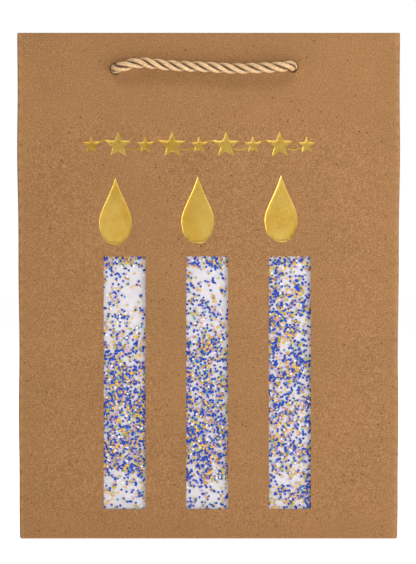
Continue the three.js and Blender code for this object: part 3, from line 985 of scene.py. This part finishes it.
def cord_piece(name, material, route, start, end, pinched_at=None, closing_rings=0):
    """Three twisted strands round a core along a stretch of a route, each a closed tube.

    The twist depends only on the length along the route, so two stretches meet.
    The strands draw together where the cord is pinched in its hole, and over the
    closing rings they close in to a melted end.
    """
    count = max(4, round((end - start) / RING_STEP) + 1)
    s = np.linspace(start, end, count)
    centre, tangent, side, other = route.at(s)
    shrink = np.ones(count)
    if pinched_at is not None:
        shrink -= PINCH * np.exp(-((s - pinched_at) / PINCH_REACH) ** 2)
    for i in range(closing_rings):
        shrink[count - 1 - i] = MELTED_SHARE + (1 - MELTED_SHARE) * math.sqrt((i + 0.3) / closing_rings)
    vertices, faces, uvs, painted_gap_shade = [], [], [], []
    around = np.arange(STRAND_SIDES) * 2 * math.pi / STRAND_SIDES
    strands = [(STRAND_ORBIT, STRAND_RADIUS)] * 3 + [(0.0, CORE_RADIUS)]
    for strand, (strand_orbit, strand_radius) in enumerate(strands):
        turn = 2 * math.pi * s / LAY + strand * 2 * math.pi / 3
        out = np.cos(turn)[:, None] * side + np.sin(turn)[:, None] * other
        orbit = (strand_orbit * shrink)[:, None]
        line = centre + orbit * out
        ahead = np.gradient(line, axis=0)
        ahead /= np.linalg.norm(ahead, axis=1)[:, None]
        flat_out = out - ahead * (out * ahead).sum(1)[:, None]
        flat_out /= np.linalg.norm(flat_out, axis=1)[:, None]
        across = np.cross(ahead, flat_out)
        first = len(vertices)
        for i in range(count):
            radius = strand_radius * shrink[i]
            for k, angle in enumerate(around):
                spoke = math.cos(angle) * flat_out[i] + math.sin(angle) * across[i]
                point = line[i] + radius * spoke
                vertices.append(point)
                # painted shade: how near each point lies to the cord's axis, which the material turns into
                # darkness between the strands
                from_axis = np.linalg.norm(point - centre[i]) / (CORD_DIAMETER / 2)
                painted_gap_shade.append(1 - min(from_axis, 1.0))
        for i in range(count - 1):
            for k in range(STRAND_SIDES):
                after = (k + 1) % STRAND_SIDES
                a = first + i * STRAND_SIDES
                b = a + STRAND_SIDES
                faces.append((a + k, a + after, b + after, b + k))
                u0, u1 = k / STRAND_SIDES, (k + 1) / STRAND_SIDES
                v0, v1 = s[i] / MM, s[i + 1] / MM
                twist0, twist1 = FILAMENT_TWIST * v0, FILAMENT_TWIST * v1
                uvs += [(u0 + twist0, v0), (u1 + twist0, v0), (u1 + twist1, v1), (u0 + twist1, v1)]
        last = first + (count - 1) * STRAND_SIDES
        faces.append(tuple(range(first + STRAND_SIDES - 1, first - 1, -1)))
        faces.append(tuple(range(last, last + STRAND_SIDES)))
        uvs += [(0.5, s[0] / MM)] * STRAND_SIDES + [(0.5, s[-1] / MM)] * STRAND_SIDES
    obj = make_object(name, vertices, faces, material)
    layer = obj.data.uv_layers.new(name="strand")
    layer.data.foreach_set("uv", np.array(uvs, np.float32).ravel())
    set_point_values(obj, "depth", painted_gap_shade)
    shade(obj, 60)
    return obj, centre


KNOT_HEIGHT = 14 * MM
KNOT_STEPS = 26
FREE_END = (2 * MM, 5 * MM, 8 * MM, 11.5 * MM)  # places along the free end, down from the knot


def knot_points(top):
    """An overhand knot below a point, with the free end hanging under it."""
    points = []
    for i in range(KNOT_STEPS + 1):
        t = i / KNOT_STEPS
        swell = math.sin(math.pi * t) ** 0.5
        reach = swell * (3.3 + 0.9 * math.cos(3 * 2 * math.pi * t * 0.66)) * MM
        angle = 2 * math.pi * 2.05 * t
        drop = KNOT_HEIGHT * (t + 0.13 * math.sin(2 * math.pi * 2 * t))
        points.append((top[0] + reach * math.cos(angle), top[1] + reach * math.sin(angle), top[2] - drop))
    for down in FREE_END:
        points.append((top[0], top[1], top[2] - KNOT_HEIGHT - down))
    return points


def cord_handle(name, facing, material):
    """One handle: the span on the panel, both ends through their holes, tails and knots."""
    face_y = facing * HALF_DEPTH
    halves, tails = {}, {}
    for side, sign in (("left", 1), ("right", -1)):
        hole_x, hole_z = HOLES[side]
        halves[side] = [
            (hole_x + sign * a * MM, face_y + facing * b * MM, hole_z + c * MM)
            for a, b, c in ROUTE_INSIDE + ROUTE_OUTSIDE[side]
        ]
        top = halves[side][0]
        tails[side] = [(top[0], top[1], top[2] - TAIL_LENGTH * t) for t in (1, 0.66, 0.33)]
    centre = [(SPAN_MIDDLE_X, face_y + facing * MIDDLE_OUT, MIDDLE_Z)]
    line = tails["left"] + halves["left"] + centre
    line += halves["right"][::-1] + tails["right"][::-1]
    route = Route(centripetal_curve(line))
    middle_s = route.along[np.argmin(np.abs(route.points[:, 0] - SPAN_MIDDLE_X))]
    cuts = {
        "left_tail": (0, TAIL_LENGTH),
        "left_half": (TAIL_LENGTH, middle_s - MIDDLE_HALF_LENGTH),
        "middle": (middle_s - MIDDLE_HALF_LENGTH, middle_s + MIDDLE_HALF_LENGTH),
        "right_half": (middle_s + MIDDLE_HALF_LENGTH, route.length - TAIL_LENGTH),
        "right_tail": (route.length - TAIL_LENGTH, route.length),
    }
    pinches = {}
    for side, (hole_x, hole_z) in HOLES.items():
        to_hole = np.linalg.norm(route.points - (hole_x, face_y, hole_z), axis=1)
        pinches[f"{side}_half"] = route.along[np.argmin(to_hole)]
    pieces, paths = {}, {}
    for part, (start, end) in cuts.items():
        pieces[part], paths[part] = cord_piece(
            f"{name}_cord_{part}_rope", material, route, start, end, pinches.get(part),
        )
    middle = pieces["middle"]
    settle(middle, f"{name}_handle", "cord", f"{name}_cord_middle")
    for side, sign in (("left", 1), ("right", -1)):
        hole_x, hole_z = HOLES[side]
        half = pieces[f"{side}_half"]
        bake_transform(half)
        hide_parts(f"{name}_cord_{side}_half")
        tail = pieces[f"{side}_tail"]
        top = halves[side][0]
        knot_top = (top[0], top[1], top[2] - TAIL_LENGTH)
        knot_route = Route(centripetal_curve(knot_points(knot_top), 12))
        knot, _ = cord_piece(
            f"{name}_cord_{side}_knot_rope", material, knot_route, 0, knot_route.length, closing_rings=5,
        )
        settle(knot, f"{name}_knots", "cord", f"{name}_cord_{side}_knot")
        settle(tail, "bag", "cord", f"{name}_cord_{side}_tail")
        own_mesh(tail)


# ---- CAD nodes that keep their shape ----
def dress(node, material):
    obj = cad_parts[node]
    obj.data.materials.clear()
    obj.data.materials.append(material)


# ---- Stage ----
FLOOR_HALF = 12.0
FLOOR_DROP = 0.3 * MM  # keeps the floor clear of the base
FLOOR_GLOW = 0.80
BACKDROP_SEEN = 1.02  # brightness of the backdrop to the camera
BACKDROP_LIGHTS = 0.22  # and of the light it gives to the object

# Name, place, diameter and power of the lights, which all point at the middle of the bag.
LIGHTS = (
    ("key", (-0.05, -0.95, 1.15), 0.45, 6.7),
    ("side", (0.67, -0.66, 0.03), 0.6, 9.1),
    ("back", (0.4, 1.4, 1.1), 1.0, 12),
    ("top", (0, 0.05, 1.5), 0.8, 6.5),
)


def make_stage():
    half = FLOOR_HALF
    floor = make_object(
        "floor", [(-half, -half, 0), (half, -half, 0), (half, half, 0), (-half, half, 0)], [(0, 1, 2, 3)],
    )
    floor.location.z = -FLOOR_DROP
    g = Graph("floor_white")
    white = (1, 1, 1, 1)
    glow = {"Emission Color": white, "Emission Strength": FLOOR_GLOW}
    floor.data.materials.append(g.finish(srgb(235, 235, 235), 0.9, **glow))
    world = bpy.data.worlds.new("studio")
    world.use_nodes = True
    nodes, links = world.node_tree.nodes, world.node_tree.links
    background = nodes["Background"]
    background.inputs["Color"].default_value = white
    strength = nodes.new("ShaderNodeMapRange")
    strength.inputs["To Min"].default_value = BACKDROP_LIGHTS
    strength.inputs["To Max"].default_value = BACKDROP_SEEN
    links.new(nodes.new("ShaderNodeLightPath").outputs["Is Camera Ray"], strength.inputs["Value"])
    links.new(strength.outputs["Result"], background.inputs["Strength"])
    bpy.context.scene.world = world
    bpy.context.scene.view_settings.view_transform = "Standard"


def area_light(name, where, target, size, power):
    data = bpy.data.lights.new(name, "AREA")
    data.shape = "DISK"
    data.size = size
    data.energy = power
    light = bpy.data.objects.new(name, data)
    bpy.context.scene.collection.objects.link(light)
    light.location = where
    light.rotation_euler = (Vector(target) - Vector(where)).to_track_quat("-Z", "Y").to_euler()


def make_lights():
    middle = (0, 0, HEIGHT / 2)
    for name, where, size, power in LIGHTS:
        area_light(name, where, middle, size, power)


# ---- Assembly ----
make_camera()
cord = cord_material()
cord_handle("front", -1, cord)
cord_handle("rear", 1, cord)

kraft = kraft_material()
board = board_material()
white_card = white_card_material()
film = film_material()
foil = foil_material()

flames = {name: flame_outline(f"{name}_flame_foil") for name in WINDOW_NAMES}
stars = [star_outline(*star) for star in garland_stars()]
deboss = make_deboss(list(flames.values()) + stars)
paper_panels(kraft, deboss, list(flames.values()) + stars)
paper_sides(kraft)
paper_hems(kraft)
foil_pieces(foil, deboss, flames, stars)

dots = {name: confetti_material(name, colour) for name, (colour, _) in CONFETTI_COLOURS.items()}
for window in WINDOW_NAMES:
    confetti_window(window, dots)
    dress(f"{window}_window_film", film)
    dress(f"{window}_window_tray", white_card)
for node in ("front_top_card", "rear_top_card", "base_card"):
    dress(node, board)
for node in ("glue_seam", "base_flap_front", "base_flap_rear", "base_flap_left", "base_flap_right"):
    dress(node, kraft)

make_stage()
make_lights()
